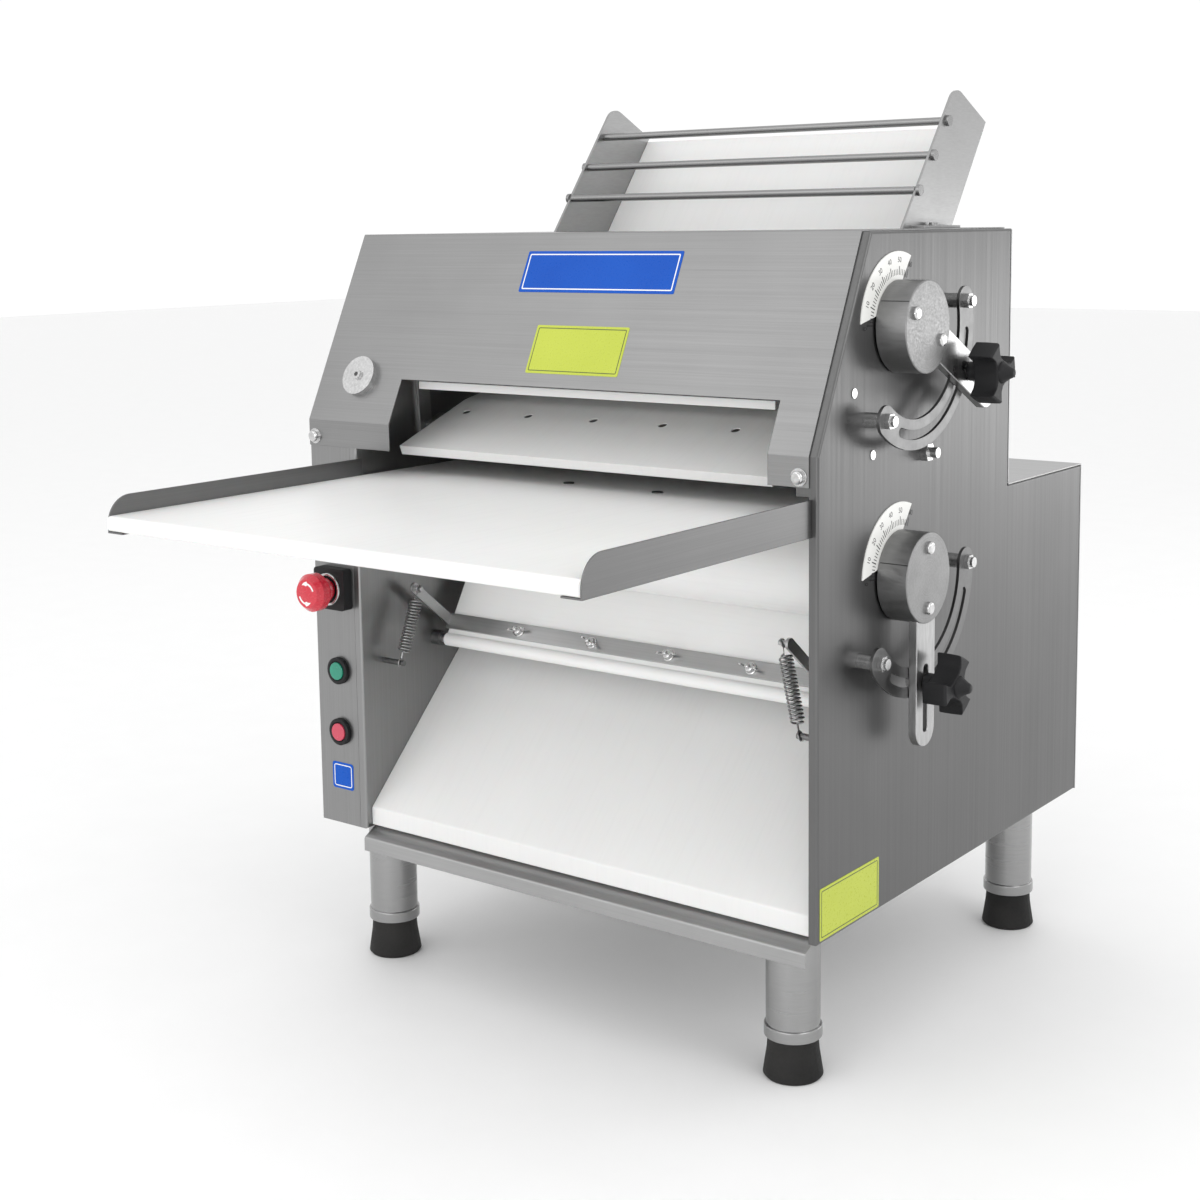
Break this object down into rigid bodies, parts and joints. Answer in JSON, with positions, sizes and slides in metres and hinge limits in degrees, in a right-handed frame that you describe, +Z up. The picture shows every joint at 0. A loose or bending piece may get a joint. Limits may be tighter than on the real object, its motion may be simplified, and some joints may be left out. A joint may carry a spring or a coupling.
{
  "type": "dough sheeter",
  "caption": "Countertop dough sheeter with a top hopper, two pairs of plastic rollers, a feed tray, gap levers on quadrants and push-button controls.",
  "frame": {"origin": "on the floor under the middle of the bounding box", "axes": "+X to the machine's right as seen from the front (the side with the gap levers), +Y to its back, +Z up; the front with the tray faces -Y"},
  "size_m": [0.695, 0.9014, 0.9166],
  "materials": {
    "brushed_steel": "brushed, satin",
    "bright_steel": "polished",
    "plain_steel": "turned",
    "white_plastic": "satin",
    "bare_aluminium": "turned and brushed",
    "black_plastic": "satin",
    "black_rubber": "matte",
    "grey_paint": "satin",
    "chain_steel": "oiled",
    "spring_steel": "dark",
    "dial_white": "satin",
    "red_plastic": "gloss",
    "green_plastic": "gloss",
    "rose_plastic": "gloss"
  },
  "bodies": {
    "machine": {"right_side_panel": "brushed_steel", "left_inner_wall": "brushed_steel", "left_cover": "brushed_steel", "bottom_plate": "brushed_steel", "rear_cover": "brushed_steel", "upper_back_panel": "brushed_steel", "hood": "brushed_steel", "cover_bolts": "bright_steel", "hopper_left_wing": "brushed_steel", "hopper_right_wing": "brushed_steel", "hopper_slide": "white_plastic", "guard_rods": "bright_steel", "exit_slide": "white_plastic", "upper_scraper": "white_plastic", "throat_frame": "brushed_steel", "tray_board": "white_plastic", "tray_frame": "brushed_steel", "board_screws": "bright_steel", "lower_chute": "white_plastic", "leg_tubes": "brushed_steel", "rubber_feet": "black_rubber", "gap_dials": "dial_white", "gauge_quadrants": "bright_steel", "quadrant_posts": "bright_steel", "shaft_bearings": "plain_steel", "outboard_brackets": "plain_steel", "motor": "grey_paint", "gearbox": "grey_paint", "drive_chain": "chain_steel", "scraper_mounts": "plain_steel", "scraper_springs": "spring_steel", "estop_base": "black_plastic", "button_bodies": "black_plastic", "cord_gland": "black_plastic"},
    "upper_gauge": {"upper_eccentric_shaft": "plain_steel", "upper_disc": "bare_aluminium", "upper_lever": "bare_aluminium", "upper_disc_screws": "bright_steel"},
    "lower_gauge": {"lower_eccentric_shaft": "plain_steel", "lower_disc": "bare_aluminium", "lower_lever": "bare_aluminium", "lower_disc_screws": "bright_steel"},
    "upper_clamp": {"upper_knob": "black_plastic"},
    "lower_clamp": {"lower_knob": "black_plastic"},
    "upper_front": {"upper_front_roller": "white_plastic", "upper_front_sprocket": "plain_steel"},
    "lower_front": {"lower_front_roller": "white_plastic", "lower_front_sprocket": "plain_steel"},
    "upper_rear": {"upper_rear_roller": "white_plastic", "upper_rear_shaft": "plain_steel"},
    "lower_rear": {"lower_rear_roller": "white_plastic", "lower_rear_shaft": "plain_steel"},
    "drive": {"drive_sprocket": "plain_steel"},
    "scraper": {"scraper_blade": "white_plastic", "scraper_bar": "plain_steel", "wing_nuts": "bright_steel"},
    "estop_plunger": {"estop_stem": "black_plastic"},
    "estop_cap": {"estop_head": "red_plastic"},
    "start": {"start_button": "green_plastic"},
    "stop": {"stop_button": "rose_plastic"}
  },
  "joints": [
    {"name": "upper_gap", "type": "hinge", "parent": "machine", "child": "upper_gauge", "pos_m": [0, 0.00925, 0.692], "axis": [1, 0, 0], "range_deg": [-78.5, 21.5]},
    {"name": "lower_gap", "type": "hinge", "parent": "machine", "child": "lower_gauge", "pos_m": [0, 0.01425, 0.463], "axis": [1, 0, 0], "range_deg": [-28.5, 71.5]},
    {"name": "upper_clamp_turn", "type": "hinge", "parent": "upper_gauge", "child": "upper_clamp", "pos_m": [0.2725, 0.09534, 0.64623], "axis": [1, 0, 0], "range_deg": [0, 360]},
    {"name": "lower_clamp_turn", "type": "hinge", "parent": "lower_gauge", "child": "lower_clamp", "pos_m": [0.2725, 0.01425, 0.3655], "axis": [1, 0, 0], "range_deg": [0, 360]},
    {"name": "upper_front_spin", "type": "hinge", "parent": "upper_gauge", "child": "upper_front", "pos_m": [0, 0.01154, 0.68872], "axis": [1, 0, 0], "continuous": true},
    {"name": "lower_front_spin", "type": "hinge", "parent": "lower_gauge", "child": "lower_front", "pos_m": [0, 0.01243, 0.45944], "axis": [1, 0, 0], "continuous": true},
    {"name": "upper_rear_spin", "type": "hinge", "parent": "machine", "child": "upper_rear", "pos_m": [0, 0.10251, 0.68928], "axis": [1, 0, 0], "continuous": true},
    {"name": "lower_rear_spin", "type": "hinge", "parent": "machine", "child": "lower_rear", "pos_m": [0, 0.10751, 0.46028], "axis": [1, 0, 0], "continuous": true},
    {"name": "drive_spin", "type": "hinge", "parent": "machine", "child": "drive", "pos_m": [0, 0.27125, 0.33], "axis": [1, 0, 0], "continuous": true},
    {"name": "scraper_swing", "type": "hinge", "parent": "machine", "child": "scraper", "pos_m": [0, -0.01616, 0.33949], "axis": [1, 0, 0], "range_deg": [-15, 0], "stiffness_Nm_per_rad": 5, "springref_deg": 6.88, "deforming": ["scraper_springs"]},
    {"name": "estop_push", "type": "slide", "parent": "machine", "child": "estop_plunger", "axis": [0, 1, 0], "range_m": [0, 0.005]},
    {"name": "estop_twist", "type": "hinge", "parent": "estop_plunger", "child": "estop_cap", "pos_m": [-0.3155, -0.12875, 0.41], "axis": [0, 1, 0], "range_deg": [0, 30]},
    {"name": "start_push", "type": "slide", "parent": "machine", "child": "start", "axis": [0, 1, 0], "range_m": [0, 0.003], "stiffness_N_per_m": 400},
    {"name": "stop_push", "type": "slide", "parent": "machine", "child": "stop", "axis": [0, 1, 0], "range_m": [0, 0.003], "stiffness_N_per_m": 400}
  ],
  "couplings": [
    {"joint": "upper_rear_spin", "follows": "lower_rear_spin", "ratio": 1},
    {"joint": "upper_front_spin", "follows": "lower_rear_spin", "ratio": -1},
    {"joint": "lower_front_spin", "follows": "lower_rear_spin", "ratio": -1},
    {"joint": "drive_spin", "follows": "lower_rear_spin", "ratio": 1}
  ]
}
